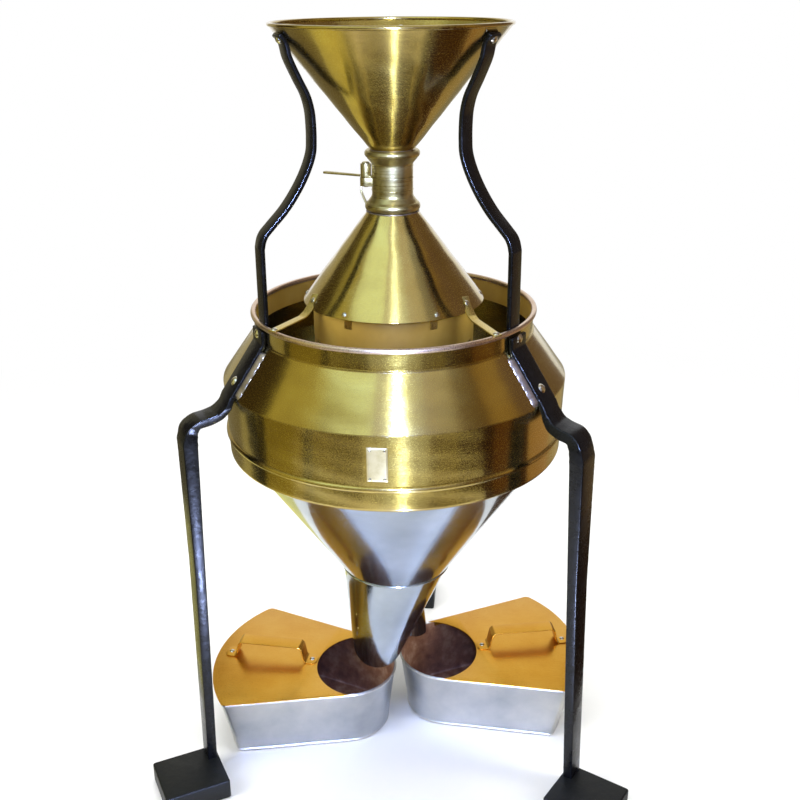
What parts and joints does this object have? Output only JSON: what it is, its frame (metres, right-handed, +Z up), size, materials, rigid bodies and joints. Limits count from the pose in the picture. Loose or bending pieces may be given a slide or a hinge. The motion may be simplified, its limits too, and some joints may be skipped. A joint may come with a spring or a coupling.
{
  "type": "conical sample divider",
  "caption": "Free-standing conical divider that splits a grain sample in two: hopper, swing gate, coned body with channels, two spouts, lidded wedge pans, iron legs",
  "frame": {"origin": "on the floor, at the centre of the box round all pieces; the machine's axis is 52.2 mm toward -Y of it", "axes": "+Z up, -Y to the front with the nameplate, +X to the right seen from the front"},
  "size_m": [0.536, 0.5006, 0.813],
  "materials": {
    "brass_sheet": "polished sheet, hand worked",
    "wire": "bare wire",
    "brass_cast": "turned casting, dull polish",
    "tinned_sheet": "tinned sheet, lightly brushed",
    "brass_polished": "mirror polished sheet",
    "brass_plate": "thin plate, satin",
    "black_iron": "black gloss paint on iron, worn at the edges",
    "rivet_metal": "bright rivet heads"
  },
  "bodies": {
    "frame": {"hopper": "brass_sheet", "hopper_wire_ring": "wire", "throat_upper": "brass_cast", "gate_collar": "brass_cast", "throat_lower": "brass_cast", "gate_pin": "brass_cast", "gate_bracket": "brass_cast", "gate_brace": "brass_cast", "hood": "brass_sheet", "hood_clips": "brass_sheet", "hood_rivets": "rivet_metal", "spreader_cone": "brass_sheet", "channel_inner_wall": "brass_sheet", "channel_outer_wall": "brass_sheet", "partitions": "brass_sheet", "outward_chutes": "brass_sheet", "inward_chutes": "brass_sheet", "inner_funnel": "tinned_sheet", "inner_spout": "tinned_sheet", "rim_wire_ring": "wire", "body_collar": "brass_sheet", "body_shoulder": "brass_sheet", "body_band": "brass_sheet", "band_bead": "brass_sheet", "nameplate": "brass_plate", "nameplate_pins": "rivet_metal", "outer_funnel": "tinned_sheet", "funnel_bead": "tinned_sheet", "outer_spout": "tinned_sheet", "bar_left": "black_iron", "bar_right": "black_iron", "bar_rear": "black_iron", "bar_rivets": "rivet_metal", "collar_rivets": "rivet_metal", "shoulder_rivets": "rivet_metal", "leg_left": "black_iron", "leg_right": "black_iron", "leg_rear": "black_iron", "foot_left": "black_iron", "foot_right": "black_iron", "foot_rear": "black_iron", "struts": "brass_sheet", "strut_hood_rivets": "rivet_metal", "strut_rim_rivets": "rivet_metal"},
    "gate": {"gate_plate": "brass_cast", "gate_lever": "brass_cast"},
    "left_pan": {"left_pan": "tinned_sheet", "left_pan_rim": "tinned_sheet"},
    "right_pan": {"right_pan": "tinned_sheet", "right_pan_rim": "tinned_sheet"},
    "left_lid": {"left_lid": "brass_polished", "left_handle": "brass_polished", "left_handle_rivets": "rivet_metal"},
    "right_lid": {"right_lid": "brass_polished", "right_handle": "brass_polished", "right_handle_rivets": "rivet_metal"}
  },
  "joints": [
    {"name": "gate_swing", "type": "hinge", "parent": "frame", "child": "gate", "pos_m": [-0.02698, -0.05319, 0.6645], "axis": [0, 0, -1], "range_deg": [0, 92]},
    {"name": "left_pan_out", "type": "slide", "parent": "frame", "child": "left_pan", "axis": [-0.9965, 0.0837, 0], "range_m": [0, 0.25]},
    {"name": "right_pan_out", "type": "slide", "parent": "frame", "child": "right_pan", "axis": [0.9792, 0.2028, 0], "range_m": [0, 0.25]},
    {"name": "left_lid_lift", "type": "slide", "parent": "left_pan", "child": "left_lid", "axis": [0, 0, 1], "range_m": [0, 0.05]},
    {"name": "right_lid_lift", "type": "slide", "parent": "right_pan", "child": "right_lid", "axis": [0, 0, 1], "range_m": [0, 0.05]}
  ]
}
